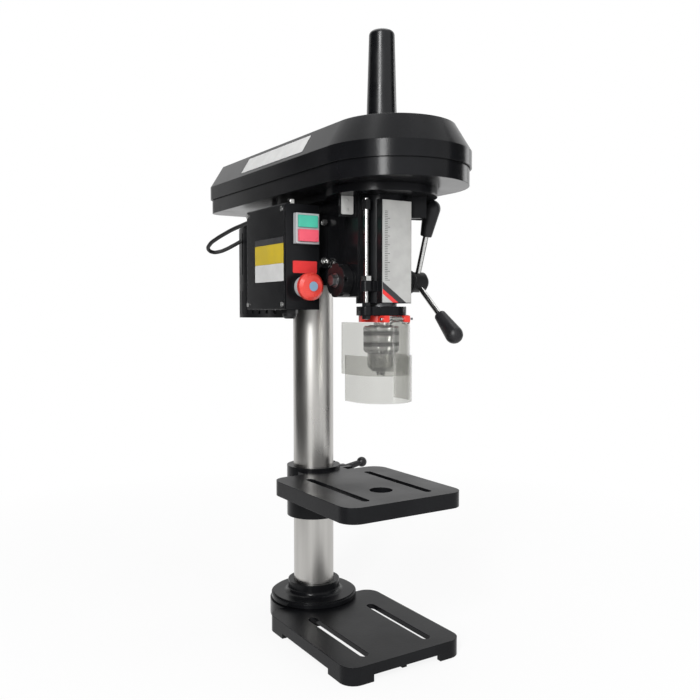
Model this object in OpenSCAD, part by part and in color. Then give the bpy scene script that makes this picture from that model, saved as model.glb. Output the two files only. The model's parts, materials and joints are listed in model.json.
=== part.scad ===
// Benchtop drill press with belt drive, sliding quill, feed handle and chuck guard.
// Front is -Y, the operator's right is +X, the base stands on Z = 0.

/* [Stand] */
// Outer diameter of the column
column_d = 60; // [56:1:64]
// Wall of the column tube
column_wall = 4; // [3:0.5:6]
// Height of the column's top end
column_top = 588; // [580:1:592]
// Width of the base
base_w = 180; // [170:1:200]
// Reach of the base in front of the column
base_front = 242; // [235:1:255]
// Back edge of the base's wide part in front of the column
base_shoulder = 22; // [16:1:34]
// Rim of the base's round end outside the flange
base_rim = 2; // [1:0.5:4]
// Height of the base's top face
base_h = 23; // [20:1:28]
// Wall and roof of the base casting
base_wall = 7; // [5:0.5:9]
// Corner radius of the base
base_corner = 20; // [14:1:24]
// Height of the arches between the feet
base_arch = 9; // [6:1:12]
// Length of a foot at each front corner
base_foot = 38; // [30:1:45]
// Distance between the base slots
base_slot_pitch = 98; // [90:1:105]
// Length of a base slot, end to end
base_slot_len = 143; // [120:1:150]
// Width of a base slot
base_slot_w = 13; // [10:0.5:15]
// Middle of the base slots in front of the column
base_slot_mid = 148.5; // [145:0.5:152]
// Radius of the column flange
flange_r = 64; // [58:1:68]
// Height of the flange rim
flange_rim = 10; // [8:1:12]
// Radius of the flange collar
flange_collar_r = 38.5; // [36:0.5:42]
// Height of the flange collar's top end
flange_top = 50; // [46:1:56]

/* [Table] */
// Height of the table's top face at rest
table_z = 219.5; // [200:0.5:230]
// Thickness of the table plate
table_t = 20.5; // [18:0.5:24]
// Thickness of the table's top over the hollow underside
table_plate = 9; // [7:0.5:11]
// Thickness of the table's edge walls
table_edge = 8; // [6:0.5:10]
// Width of the table
table_w = 183; // [175:1:195]
// Front edge of the table from the column axis
table_front = 244; // [236:1:252]
// Back edge of the table from the column axis
table_back = 42; // [38:1:46]
// Corner radius of the table
table_corner = 22; // [12:1:26]
// Distance between the table slots
table_slot_pitch = 97.5; // [90:0.5:105]
// Length of a table slot
table_slot_len = 152; // [130:1:156]
// Width of a table slot
table_slot_w = 11; // [9:0.5:13]
// Radius of the table's centre hole
table_hole_r = 15.5; // [12:0.5:18]
// Radius of the table collar
table_collar_r = 40; // [38:0.5:44]
// Length of the table collar below the top face
table_collar_drop = 70; // [60:1:80]
// Height of the collar rim above the top face
table_collar_rise = 5; // [3:0.5:8]
// Width of the clamp slit
clamp_slit = 4; // [3:0.5:6]
// Radius of the clamp bolt
clamp_bolt_r = 5; // [4:0.5:6]
// Length of the clamp lever
clamp_lever_len = 58; // [45:1:70]

/* [Head] */
// Distance from the column axis to the spindle axis
spindle_reach = 180; // [176:1:184]
// Lower end of the quill sleeve
sleeve_z = 465; // [460:1:470]
// Outer radius of the quill sleeve
sleeve_r = 33; // [32:0.5:36]
// Height of the head's top face, under the belt tray
head_top = 611; // [608:1:613]
// Thickness of the head's top flange
head_flange_t = 10; // [8:1:12]
// Radius of the top flange round the spindle
head_flange_r = 72; // [66:1:76]
// Half width of the head's body
head_half_w = 36; // [34:1:38]
// Rise of the head's lower edge above the sleeve
head_rise = 9; // [6:1:12]
// Radius of the column socket
socket_r = 41; // [38:1:44]
// Rise of the column socket above the head's lower edge
socket_rise = 16; // [12:1:20]
// Distance of the flat front pad from the spindle axis
pad_reach = 34; // [33.5:0.5:38]
// Width of the flat front pad
pad_w = 46; // [40:1:50]

/* [Quill] */
// Outer radius of the quill
quill_r = 20; // [19:0.5:21]
// Radius of the quill collar
quill_collar_r = 32.5; // [30:0.5:34]
// Upper face of the quill collar below the sleeve
quill_gap = 4; // [3:0.5:6]
// Height of the quill collar
quill_collar_h = 11.5; // [10:0.5:13]
// Travel of the quill
quill_travel = 60; // [40:1:60]
// Radius of the spindle
spindle_r = 7.5; // [7:0.5:8]
// Height of the spindle's top end
spindle_top = 696; // [690:1:698]
// Radius of the spindle bearings
bearing_r = 17; // [16:0.5:17.5]
// Width of the spindle bearings
bearing_w = 11; // [9:1:13]
// Module of the rack and pinion
gear_module = 1.5; // [1.5:0.1:1.5]
// Teeth of the pinion
pinion_teeth = 14; // [14:1:14]
// Face width of the rack and pinion
gear_face = 20; // [16:1:22]
// Height of the feed shaft above the sleeve's lower end
feed_rise = 30; // [28:1:31]
// Radius of the feed shaft
feed_r = 7; // [6:0.5:7.5]

/* [Chuck] */
// Upper end of the chuck
chuck_top = 437; // [434:0.5:440]
// Lower end of the chuck sleeve
chuck_sleeve_z = 401; // [396:1:405]
// Lower end of the chuck body
chuck_z = 377; // [372:1:382]
// Radius of the chuck sleeve
chuck_sleeve_r = 23.5; // [22:0.5:26]
// Radius of the chuck body
chuck_r = 18; // [17:0.5:19]
// Radius of a jaw
jaw_r = 3.5; // [3:0.25:4]
// Lean of a jaw from the chuck axis
jaw_lean = 15; // [12:1:18]

/* [Guard] */
// Outer radius of the upper shield
shield_r = 37.5; // [36:0.5:39]
// Wall of the shields
shield_wall = 2; // [1.5:0.25:2.5]
// Gap between the shields
shield_gap = 0.6; // [0.4:0.1:1]
// Reach of the upper shield behind the spindle
shield_back = 38; // [30:1:42]
// Height of the upper shield
shield_h = 68; // [60:1:75]
// Height of the lower shield
skirt_h = 60; // [50:1:65]
// Lower end of the lower shield
skirt_z = 338; // [335:1:345]

/* [Feed handle] */
// Distance of the knobs from the feed shaft
knob_reach = 64; // [55:1:64]
// Length of a knob
knob_len = 50; // [40:1:50]
// Radius of a knob's big end
knob_r = 12; // [10:0.5:12]
// Radius of a handle rod
rod_r = 4; // [3:0.5:5]
// Turn of the first handle rod from the horizontal
rod_turn = 224; // [200:1:250]
// Outward lean of the handle rods
rod_lean = 4; // [3:1:8]
// Number of handle rods
rod_count = 3; // [3:1:4]

/* [Belt housing] */
// Half width of the lid's rim
lid_half_w = 97; // [92:1:102]
// Reach of the lid in front of the column
lid_front = 305; // [298:1:312]
// Reach of the lid behind the column
lid_rear = 180; // [178:1:186]
// Corner radius at the lid's rear
lid_corner = 26; // [20:1:32]
// Depth of the belt tray
tray_h = 21; // [19:1:24]
// Height of the lid's upright band
lid_band = 20; // [16:1:24]
// Room between the pulleys and the lid's top face
lid_room = 11.2; // [10:0.2:16]
// Inset of the lid's top
lid_inset = 20; // [16:1:24]
// Wall of the lid and the tray
lid_wall = 2.2; // [1.6:0.2:3]
// Gap between tray and lid rim
lid_gap = 0.5; // [0.3:0.1:1]
// Height of the spindle cover tube's top
tube_top = 813; // [800:1:830]
// Radius of the tube at its foot
tube_foot_r = 20; // [19:0.5:21]
// Radius of the tube at its top
tube_top_r = 16.5; // [15:0.5:18]

/* [Drive] */
// Distance of the motor axis behind the column
motor_back = 120; // [118:1:124]
// Radius of the motor
motor_r = 60; // [56:1:62]
// Lower end of the motor's fan cowl
motor_z = 445; // [440:1:452]
// Height of the fan cowl
cowl_h = 54; // [46:1:60]
// Upper end of the motor
motor_top = 598; // [592:1:602]
// Number of slots round the fan cowl
cowl_slots = 30; // [24:1:36]
// Distance of the idler axis in front of the column
idler_front = 30; // [26:1:34]
// Number of pulley steps
pulley_steps = 4; // [4:1:4]
// Height of one pulley step
step_h = 14; // [13:0.5:14.5]
// Radius of the largest pulley step
pulley_big = 46; // [42:1:48]
// Radius lost at each pulley step
pulley_drop = 8; // [6:1:9]
// Depth of a belt groove
groove_d = 6; // [5:0.5:7]
// Step that carries the front belt, counted from below
front_step = 2; // [2:1:2]
// Step that carries the rear belt, counted from below
rear_step = 1; // [1:1:1]
// Distance between the motor slide rods
slide_pitch = 88; // [88:1:90]
// Radius of the motor slide rods
slide_r = 6; // [5:0.5:7]
// Height of the motor slide rods
slide_z = 560; // [550:1:568]

/* [Switch gear] */
// Width of the switch box
box_w = 50; // [46:1:56]
// Depth of the switch box
box_d = 118; // [110:1:124]
// Height of the switch box
box_h = 138; // [130:1:142]
// Lower end of the switch box
box_z = 457; // [452:1:462]
// Front face of the switch box from the column axis
box_front = 116; // [112:1:120]
// Right face of the switch box from the column axis
box_right = 56; // [56:1:60]
// Wall of the switch box
box_wall = 2; // [1.5:0.25:3]
// Travel of the push buttons
button_travel = 3; // [2:0.5:4]
// Radius of the emergency stop
estop_r = 18; // [15:0.5:19]

/* [Hidden] */
$fn = 64;
eps = 0.02;
run_gap = 0.05;
seat_gap = 0.3;
column_r = column_d / 2;
spindle_y = -spindle_reach;
socket_z = sleeve_z + head_rise + socket_rise;
quill_collar_top = sleeve_z - quill_gap;
quill_collar_z = quill_collar_top - quill_collar_h;
quill_top = head_top - 24;
pinion_r = gear_module * pinion_teeth / 2;
rack_pitch = PI * gear_module;
rack_depth = 2.25 * gear_module;
rack_line = quill_r - 2.2;
feed_z = sleeve_z + feed_rise;
feed_y = spindle_y + rack_line + pinion_r;
feed_bore = pinion_r + gear_module + 0.5;
feed_boss_x = head_half_w + 24;
hub_x = feed_boss_x + 3;
hub_len = 30;
hub_r = 14;
cap_x = head_half_w + 4;
cap_depth = 13;
cap_r = 22;
cap_wall = 2;
slide_in = 30;
pulley_z = head_top + 7;
pulley_h = pulley_steps * step_h;
hub_bearing_r = 21;
hub_bearing_w = 12;
hub_bearing_z = head_top - 14;
pulley_hub_r = 11;
parting_z = head_top + tray_h;
lid_top = pulley_z + pulley_h + lid_room;
lid_slope = lid_top - parting_z - lid_band - 0.2;
tray_half_w = lid_half_w - lid_wall - lid_gap;
tray_lip = 5;
box_x = -box_right - box_w;
box_y = -box_front;
rod_x = -37.5;
rod_y = spindle_y - 21;
rod_top = 596;
rod_rad = 3;
rod_lug_z = 480;
rod_lug_h = 13;
guard_ring_h = 8.5;
guard_z = quill_collar_z - guard_ring_h;
pin_y = spindle_y - shield_r + 5.5;
pin_z = quill_collar_z - 4.5;
pin_r = 2;
ear_mid = 16;
ear_w = 8;
barrel_r = 4;
barrel_half = ear_mid - ear_w / 2 - 0.5;
ear_sweep = 6.4;
bolt_r = 4;
bolt_circle_r = flange_collar_r + 9;
bolt_sink_r = 8.5;
bolt_sink = 8;
bolt_bite = 6;
boss_r = flange_r;
clamp_x = table_collar_r + 11;
clamp_z = table_z - 16;
clamp_rest = 78;
hinge_x = lid_half_w + 5;
hinge_z = parting_z - 4;
hinge_r = 4;
hinge_pin_r = 2;
hinge_t = 2;
hinge_leaf_h = 10;
hinge_y = [-110, 70];
knuckle_len = 12;
jaw_gap = 1.6;
clamp_screw_z = [socket_z + 15, socket_z + 42];
belt_facets = 36;
bite = 1;
lead_r = 3;
lead_sides = 8;
switch_x = 11;
switch_low = 86;
switch_w = 34;
switch_t = 8;
switch_rim = 2.5;
button_w = switch_w - 2 * switch_rim;
button_h = 16;
switch_h = 2 * button_h + 3 * switch_rim;
estop_x = 26;
estop_z = 30;
estop_stem = 6;
// Route of the lead from the switch box to the motor
lead_route = [
    [-88, 3, 586], [-88, 14, 586], [-89, 32, 585], [-92, 52, 582], [-97, 72, 578], [-103, 92, 572],
    [-108, 110, 566], [-112, 126, 559], [-110, 138, 552], [-101, 142, 548], [-91, 139, 549],
    [-82, 132, 553], [-74, 126, 558], [-66, 122, 563], [-61.5, 120, 566]
];

black_iron = [0.09, 0.09, 0.10];
black_plastic = [0.12, 0.12, 0.13];
bright_steel = [0.72, 0.73, 0.75];
dull_steel = [0.45, 0.46, 0.48];
belt_black = [0.05, 0.05, 0.05];
clear_plastic = [0.80, 0.84, 0.84, 0.45];
signal_red = [0.80, 0.12, 0.10];
pale_grey = [0.82, 0.82, 0.80];

// Rectangle with round corners, given by two opposite corners
module round_rect(low, high, r) {
    for (x = [low[0] + r, high[0] - r], y = [low[1] + r, high[1] - r])
        translate([x, y]) circle(r = r);
    translate([low[0] + r, low[1]]) square([high[0] - low[0] - 2 * r, high[1] - low[1]]);
    translate([low[0], low[1] + r]) square([high[0] - low[0], high[1] - low[1] - 2 * r]);
}

// Slot of a given length along Y, centred
module slot_y(len, w) {
    square([w, len - w], center = true);
    for (s = [-1, 1]) translate([0, s * (len - w) / 2]) circle(d = w);
}

// Ring between two radii, standing on a height
module ring(r_out, r_in, z, h) {
    translate([0, 0, z]) difference() {
        cylinder(r = r_out, h = h);
        translate([0, 0, -1]) cylinder(r = r_in, h = h + 2);
    }
}

// Belt housing outline: round front, square rear with round corners
module housing_outline(half_w, front, rear, corner) {
    translate([0, half_w - front]) circle(r = half_w);
    translate([-half_w, half_w - front]) square([2 * half_w, front + rear - half_w - corner]);
    translate([corner - half_w, 0]) square([2 * (half_w - corner), rear]);
    for (s = [-1, 1]) translate([s * (half_w - corner), rear - corner]) circle(r = corner);
}

// Belt housing's sloped band, which narrows by the lid's inset
module housing_slope(half_w, front, rear, corner, h) {
    translate([0, half_w - front, 0]) cylinder(r1 = half_w, r2 = half_w - lid_inset, h = h);
    translate([0, rear - corner, 0]) rotate([90, 0, 0]) linear_extrude(front + rear - half_w - corner)
        polygon([[-half_w, 0], [half_w, 0], [half_w - lid_inset, h], [lid_inset - half_w, h]]);
    translate([corner - half_w, 0, 0]) rotate([90, 0, 90]) linear_extrude(2 * (half_w - corner))
        polygon([[0, 0], [rear, 0], [rear - lid_inset, h], [0, h]]);
    for (s = [-1, 1]) translate([s * (half_w - corner), rear - corner, 0])
        cylinder(r1 = corner, r2 = corner - lid_inset, h = h);
}

// Hex bolt head standing on Z = 0
module hex(across, h) cylinder(d = across / cos(30), h = h, $fn = 6);

// Cylinder along X from x to x + len
module x_cyl(r, x, len) translate([x, 0, 0]) rotate([0, 90, 0]) cylinder(r = r, h = len);

// Cylinder along Y from y to y + len
module y_cyl(r, y, len) translate([0, y, 0]) rotate([-90, 0, 0]) cylinder(r = r, h = len);

// Unit vectors and rings for a swept tube
function unit(v) = v / norm(v);
function heading(p, i) = unit(p[min(i + 1, len(p) - 1)] - p[max(i - 1, 0)]);
function side_of(t) = unit(cross(t, [0.3, 0.2, 1]));
function tube_ring(p, i, r, n) =
    let (t = heading(p, i), a = side_of(t), b = cross(t, a))
    [for (k = [0 : n - 1]) p[i] + r * (cos(360 * k / n) * a + sin(360 * k / n) * b)];

// Tube swept along a list of points
module swept_tube(p, r, n) {
    m = len(p);
    rings = [for (i = [0 : m - 1]) each tube_ring(p, i, r, n)];
    walls = [for (i = [0 : m - 2], k = [0 : n - 1])
        let (a = i * n + k, b = i * n + (k + 1) % n) each [[a, a + n, b + n], [a, b + n, b]]];
    ends = [[for (k = [0 : n - 1]) k], [for (k = [n - 1 : -1 : 0]) (m - 1) * n + k]];
    polyhedron(points = rings, faces = concat(walls, ends), convexity = 6);
}

// Base outline: wide in front, with a round end under the column
module base_outline(inset) {
    half = base_w / 2 - inset;
    round_rect([-half, inset - base_front], [half, -base_shoulder - inset], base_corner - inset);
    circle(r = flange_r + base_rim - inset);
}

module base() {
    half = base_w / 2;
    side_arch = base_front - base_shoulder - 2 * base_foot - base_corner;
    color(black_iron) difference() {
        linear_extrude(base_h) base_outline(0);
        difference() {
            translate([0, 0, -1]) linear_extrude(base_h - base_wall + 1) base_outline(base_wall);
            translate([-base_wall / 2, -base_front, 2]) cube([base_wall, base_front, base_h]);
            cylinder(r = boss_r, h = base_h);
        }
        // arch under the front wall
        translate([base_foot - half, -base_front - 1, -1])
            cube([base_w - 2 * base_foot, base_wall + 2, base_arch + 1]);
        // arches under the side walls
        for (s = [-1, 1])
            translate([s * (half - base_wall / 2) - base_wall / 2 - 1, base_foot + base_corner / 2 - base_front, -1])
                cube([base_wall + 2, side_arch, base_arch - 1]);
        for (s = [-1, 1])
            translate([s * base_slot_pitch / 2, -base_slot_mid, -1])
                linear_extrude(base_h + 2) slot_y(base_slot_len, base_slot_w);
        // bolt holes under the flange
        for (a = [45 : 90 : 315])
            rotate(a) translate([bolt_circle_r, 0, -1]) {
                cylinder(r = bolt_r + 0.2, h = base_h + 2);
                cylinder(r = bolt_sink_r, h = bolt_sink + 1);
            }
        translate([0, 0, base_wall]) cylinder(r = column_r - column_wall, h = base_h);
    }
}

module column_flange() {
    color(black_iron) difference() {
        flange_solid();
        for (a = [45 : 90 : 315])
            rotate(a) translate([bolt_circle_r, 0, base_h - 1]) cylinder(r = bolt_r, h = bolt_bite + 1.3);
    }
}

// Flange turned from its half section
module flange_solid() {
    rotate_extrude() difference() {
        union() {
            translate([column_r + run_gap, base_h]) square([flange_r - 3 - column_r, flange_rim]);
            translate([flange_r - 3, base_h + flange_rim / 2]) circle(r = 3);
            translate([flange_r - 4, base_h + 2]) square([4, flange_rim - 4]);
            translate([column_r + run_gap, base_h])
                square([flange_collar_r - column_r - run_gap, flange_top - base_h]);
            translate([flange_collar_r - 1, base_h + flange_rim - 1]) square([8, 8]);
        }
        translate([flange_collar_r + 7, base_h + flange_rim + 7]) circle(r = 7);
    }
}

module flange_bolts() {
    color(dull_steel) for (a = [45 : 90 : 315]) rotate(a) translate([bolt_circle_r, 0, bolt_sink - 5.5]) {
        hex(13, 5.5);
        cylinder(r = bolt_r, h = base_h + bolt_bite + 5.5 - bolt_sink);
    }
}

module column() {
    color(bright_steel) ring(column_r, column_r - column_wall, base_h + seat_gap, column_top - base_h - seat_gap);
}

module table() {
    half = table_w / 2;
    bottom = table_z - table_t;
    collar_low = table_z - table_collar_drop;
    table_neck = 2;
    color(black_iron) difference() {
        union() {
            difference() {
                translate([0, 0, bottom]) linear_extrude(table_t) {
                    round_rect([-half, -table_front], [half, table_neck - table_back], table_corner);
                    translate([table_neck * 2 - table_collar_r, -table_back - table_corner])
                        square([2 * table_collar_r - 4 * table_neck, table_corner + 0.75 * table_back]);
                }
                // hollow underside inside the edge walls, with a boss round the hole
                translate([0, 0, bottom - 1]) linear_extrude(table_t - table_plate + 1) difference() {
                    round_rect([table_edge - half, table_edge - table_front],
                               [half - table_edge, -table_back - table_edge], table_corner - table_edge);
                    translate([0, spindle_y]) circle(r = table_hole_r + table_edge);
                }
            }
            translate([0, 0, collar_low])
                cylinder(r = table_collar_r, h = table_collar_drop + table_collar_rise);
            // gusset from collar to plate
            translate([-table_edge, 0, 0]) rotate([90, 0, 90]) linear_extrude(2 * table_edge) polygon([
                [-table_front / 2, table_z - table_plate / 2], [0, table_z - table_plate / 2],
                [0, collar_low + table_edge], [-table_collar_r, collar_low + table_edge]
            ]);
            // clamp lugs on the right of the collar
            translate([column_r + 4, -13, clamp_z - 13]) cube([clamp_x - column_r + 6, 26, 26]);
        }
        translate([0, 0, collar_low - 1])
            cylinder(r = column_r + run_gap, h = table_collar_drop + table_collar_rise + 2);
        // slit that lets the collar close
        translate([0, -clamp_slit / 2, collar_low - 1])
            cube([clamp_x + 20, clamp_slit, table_collar_drop + table_collar_rise + 2]);
        translate([clamp_x, 0, clamp_z]) y_cyl(clamp_bolt_r + run_gap, -30, 60);
        for (s = [-1, 1])
            translate([s * table_slot_pitch / 2, -(table_front + table_back) / 2 - 3, bottom - 1])
                linear_extrude(table_t + 2) slot_y(table_slot_len, table_slot_w);
        translate([0, spindle_y, bottom - 1]) cylinder(r = table_hole_r, h = table_t + 2);
    }
}

module clamp_bolt() {
    color(dull_steel) translate([clamp_x, 0, clamp_z]) {
        y_cyl(clamp_bolt_r, -13.3, 13.3 + 30);
        translate([0, -13.3, 0]) rotate([90, 0, 0]) hex(15, 6);
    }
}

module clamp_lever() {
    boss = 9;
    color(black_plastic) translate([clamp_x, 0, clamp_z]) difference() {
        union() {
            y_cyl(boss, 13 + seat_gap, 14);
            translate([0, 20, 0]) rotate([0, clamp_rest, 0]) cylinder(r1 = 6, r2 = 4.5, h = clamp_lever_len - 10);
            translate([0, 20, 0]) rotate([0, clamp_rest, 0]) translate([0, 0, clamp_lever_len - 8])
                sphere(r = 8);
        }
        y_cyl(clamp_bolt_r + run_gap, 0, 40);
    }
}

// Head's side outline in the plane of Y and Z, before the bores
module head_side() {
    low = sleeve_z + head_rise;
    turn = socket_z - low;
    rear = -socket_r - 66;
    top = head_top - head_flange_t + 2 * bite;
    translate([spindle_y, low]) square([rear - turn - spindle_y, top - low]);
    translate([spindle_y, socket_z]) square([-spindle_y, top - socket_z]);
    translate([rear - turn, socket_z]) circle(r = turn);
}

module head_casting() {
    top = head_top - head_flange_t;
    color(black_iron) difference() {
        union() {
            rotate([90, 0, 90]) linear_extrude(2 * head_half_w, center = true) head_side();
            translate([0, 0, socket_z]) cylinder(r = socket_r, h = top + 4 * bite - socket_z);
            translate([0, spindle_y, sleeve_z]) cylinder(r = sleeve_r, h = top + 3 * bite - sleeve_z);
            translate([-pad_w / 2, spindle_y - pad_reach, sleeve_z])
                cube([pad_w, pad_reach, head_top - 16 - sleeve_z]);
            // top flange under the belt tray
            translate([0, 0, top]) linear_extrude(head_flange_t) {
                translate([0, spindle_y]) circle(r = head_flange_r);
                translate([-socket_r - 12, spindle_y]) square([2 * socket_r + 24, spindle_reach]);
                circle(r = socket_r + 12);
            }
            // ribs between sleeve and flange
            for (a = [168, 325, 350])
                translate([0, spindle_y, top - 26]) rotate(a)
                    translate([0, -2.5, 0]) cube([head_flange_r - 14, 5, 26 + bite]);
            // bosses of the feed shaft
            translate([0, feed_y, feed_z]) x_cyl(feed_bore + 6, 0, feed_boss_x);
            translate([0, feed_y, feed_z]) x_cyl(cap_r, -cap_x, cap_x);
            // bosses of the motor slide rods
            for (s = [-1, 1])
                translate([s * slide_pitch / 2, 0, slide_z]) y_cyl(slide_r + 4, -40, 70);
            // lug that guides the depth rod
            translate([rod_x, rod_y, rod_lug_z]) cylinder(r = 8, h = rod_lug_h);
            translate([rod_x, rod_y - 4, rod_lug_z]) cube([-rod_x - 10, 12, rod_lug_h]);
        }
        translate([0, 0, socket_z - 1]) cylinder(r = column_r + run_gap, h = column_top + 1 + seat_gap - socket_z);
        translate([0, spindle_y, sleeve_z - 1]) cylinder(r = quill_r + run_gap, h = head_top + 2 - sleeve_z);
        translate([0, spindle_y, hub_bearing_z]) cylinder(r = hub_bearing_r, h = head_top);
        // pinion pocket from the right, shaft bore to the left
        translate([0, feed_y, feed_z]) {
            x_cyl(feed_bore, -gear_face / 2 - 2, feed_boss_x + 40);
            x_cyl(feed_r + run_gap, -cap_x - 1, cap_x + 1);
        }
        translate([rod_x, rod_y, rod_lug_z - 1]) cylinder(r = 5, h = rod_lug_h + 2);
        for (s = [-1, 1])
            translate([s * slide_pitch / 2, 0, slide_z]) y_cyl(slide_r + run_gap, -41, 80);
        // idler post seat
        translate([0, -idler_front, column_top + 4]) cylinder(r = 6, h = 40);
        // set screws that clamp the column
        for (z = clamp_screw_z)
            translate([0, 0, z]) x_cyl(4, column_r - 2, 40);
    }
}

module head_bolts() {
    color(dull_steel) for (z = clamp_screw_z)
        translate([0, 0, z]) x_cyl(4, column_r + 1, socket_r - column_r + 4);
}

// Trapezoid tooth gaps of the rack, cut along X
module rack_gaps(z_low, z_high) {
    half = rack_pitch / 4;
    slope = rack_depth * tan(20) / 2;
    count = floor((z_high - z_low) / rack_pitch);
    for (i = [0 : count - 1])
        translate([-gear_face / 2, 0, z_low + i * rack_pitch]) rotate([90, 0, 90])
            linear_extrude(gear_face) polygon([
                [rack_line - 1.25 * gear_module, -half + slope], [rack_line - 1.25 * gear_module, half - slope],
                [rack_line + gear_module, half + slope + 0.3], [rack_line + gear_module, -half - slope - 0.3]
            ]);
}

module quill() {
    color(dull_steel) translate([0, spindle_y, 0]) difference() {
        translate([0, 0, quill_collar_z]) cylinder(r = quill_r, h = quill_top - quill_collar_z);
        translate([0, 0, quill_collar_z - 1]) cylinder(r = spindle_r + 3, h = quill_top);
        translate([0, 0, quill_collar_z - 1]) cylinder(r = bearing_r, h = bearing_w + 4);
        translate([0, 0, quill_top - bearing_w - 2]) cylinder(r = bearing_r, h = bearing_w + 4);
        // flat and tooth gaps of the rack at the back
        translate([-gear_face / 2, rack_line + gear_module, feed_z - 3 * rack_pitch])
            cube([gear_face, quill_r, quill_travel + 6 * rack_pitch]);
        rack_gaps(feed_z - 3 * rack_pitch, quill_top - bearing_w - 3);
    }
}

module quill_collar() {
    color(black_iron) difference() {
        union() {
            translate([0, spindle_y, quill_collar_z]) cylinder(r = quill_collar_r, h = quill_collar_h);
            translate([rod_x, rod_y, quill_collar_z]) cylinder(r = 8, h = quill_collar_h);
            translate([rod_x, rod_y - 6, quill_collar_z]) cube([-rod_x - 10, 12, quill_collar_h]);
        }
        translate([0, spindle_y, quill_collar_z - 1]) cylinder(r = quill_r, h = quill_collar_h + 2);
        translate([rod_x, rod_y, quill_collar_z - 1]) cylinder(r = rod_rad, h = quill_collar_h + 2);
    }
}

module spindle() {
    color(bright_steel) translate([0, spindle_y, 0]) {
        translate([0, 0, chuck_top - 22]) cylinder(r1 = 7, r2 = 8, h = 22);
        translate([0, 0, chuck_top]) cylinder(r = spindle_r + 2.5, h = quill_collar_z - chuck_top + 1 - seat_gap);
        translate([0, 0, quill_collar_z]) cylinder(r = spindle_r, h = quill_top - quill_collar_z + 1);
        difference() {
            translate([0, 0, quill_top]) cylinder(r = spindle_r - 0.5, h = spindle_top - quill_top);
            for (a = [0 : 60 : 300])
                rotate(a) translate([spindle_r - 1.2, -1, quill_top + 2]) cube([2, 2, spindle_top - quill_top]);
        }
    }
}

// Ball bearing: two races with a row of balls
module ball_bearing(r_out, r_in, w) {
    mid = (r_out + r_in) / 2;
    wall = (r_out - r_in) / 4;
    ring(r_out, r_out - wall, 0, w);
    ring(r_in + wall, r_in, 0, w);
    ring(r_out - wall, r_in + wall, w / 2 - 1.5, 3);
}

module spindle_bearings() {
    color(bright_steel) for (z = [quill_collar_z + 1, quill_top - bearing_w - 1])
        translate([0, spindle_y, z]) ball_bearing(bearing_r, spindle_r + run_gap, bearing_w);
}

module pulley_bearing() {
    color(bright_steel) translate([0, spindle_y, hub_bearing_z])
        ball_bearing(hub_bearing_r, pulley_hub_r + run_gap, hub_bearing_w);
}

// Jaw axis: leans outwards towards the top
module at_jaw(i) {
    translate([0, spindle_y, chuck_z - 3]) rotate(120 * i + 30) translate([2.5, 0, 0])
        rotate([0, jaw_lean, 0]) children();
}

module chuck_body() {
    color(bright_steel) difference() {
        translate([0, spindle_y, 0]) rotate_extrude() polygon([
            [0, chuck_z], [chuck_r - 6, chuck_z], [chuck_r, chuck_z + 6], [chuck_r, chuck_sleeve_z - 1],
            [chuck_r - 1, chuck_sleeve_z], [chuck_r - 1, chuck_top - 2], [chuck_r - 2, chuck_top], [0, chuck_top]
        ]);
        translate([0, spindle_y, chuck_top - 22]) cylinder(r1 = 7, r2 = 8, h = 22);
        translate([0, spindle_y, chuck_z - 1]) cylinder(r = 7, h = 12);
        for (i = [0 : 2]) at_jaw(i) translate([0, 0, -6]) cylinder(r = jaw_r + run_gap, h = 36);
        // key holes
        for (a = [30 : 120 : 270])
            translate([0, spindle_y, chuck_sleeve_z - 9]) rotate(a + 60) x_cyl(3.2, chuck_r - 8, 12);
    }
}

module chuck_sleeve() {
    teeth = 30;
    color(bright_steel) translate([0, spindle_y, 0]) difference() {
        rotate_extrude() polygon([
            [chuck_r - 1 + run_gap, chuck_sleeve_z + seat_gap], [chuck_sleeve_r - 3, chuck_sleeve_z + seat_gap],
            [chuck_sleeve_r, chuck_sleeve_z + 4], [chuck_sleeve_r, chuck_sleeve_z + 8],
            [chuck_sleeve_r - 0.8, chuck_sleeve_z + 9], [chuck_sleeve_r - 0.8, chuck_sleeve_z + 14],
            [chuck_sleeve_r, chuck_sleeve_z + 15], [chuck_sleeve_r, chuck_top - 14],
            [chuck_sleeve_r - 0.8, chuck_top - 13], [chuck_sleeve_r - 0.8, chuck_top - 8],
            [chuck_sleeve_r, chuck_top - 7], [chuck_sleeve_r, chuck_top - 3],
            [chuck_sleeve_r - 2, chuck_top - 1], [chuck_r - 1 + run_gap, chuck_top - 1]
        ]);
        for (i = [0 : teeth - 1])
            rotate(360 * i / teeth) translate([chuck_sleeve_r - 3.5, -0.9, chuck_sleeve_z - 1])
                cube([6, 1.8, 6]);
    }
}

module jaw(i) {
    reach = chuck_r + chuck_sleeve_r;
    side = reach * tan(58);
    color(dull_steel) intersection() {
        at_jaw(i) translate([0, 0, -2]) cylinder(r = jaw_r, h = 30);
        translate([0, spindle_y, chuck_z - 6]) rotate(120 * i + 30) translate([jaw_gap, 0, 0])
            linear_extrude(60) polygon([[0, 0], [reach, -side], [reach, side]]);
    }
}

module chuck_jaw_1() jaw(0);
module chuck_jaw_2() jaw(1);
module chuck_jaw_3() jaw(2);

// Pinion outline with straight-flanked teeth
module pinion_outline() {
    tip = pinion_r + gear_module * 0.9;
    root = pinion_r - gear_module * 1.1;
    circle(r = root);
    for (i = [0 : pinion_teeth - 1]) rotate(360 * i / pinion_teeth)
        polygon([[root - 0.3, -1.55], [pinion_r, -1.08], [tip, -0.5], [tip, 0.5], [pinion_r, 1.08], [root - 0.3, 1.55]]);
}

module feed_shaft() {
    color(dull_steel) translate([0, feed_y, feed_z]) {
        translate([-gear_face / 2, 0, 0]) rotate([90, 0, 90]) rotate(180)
            linear_extrude(gear_face) pinion_outline();
        x_cyl(feed_r, -cap_x - cap_depth + cap_wall + 1, hub_x + hub_len + cap_x + cap_depth - cap_wall - 3);
    }
}

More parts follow.
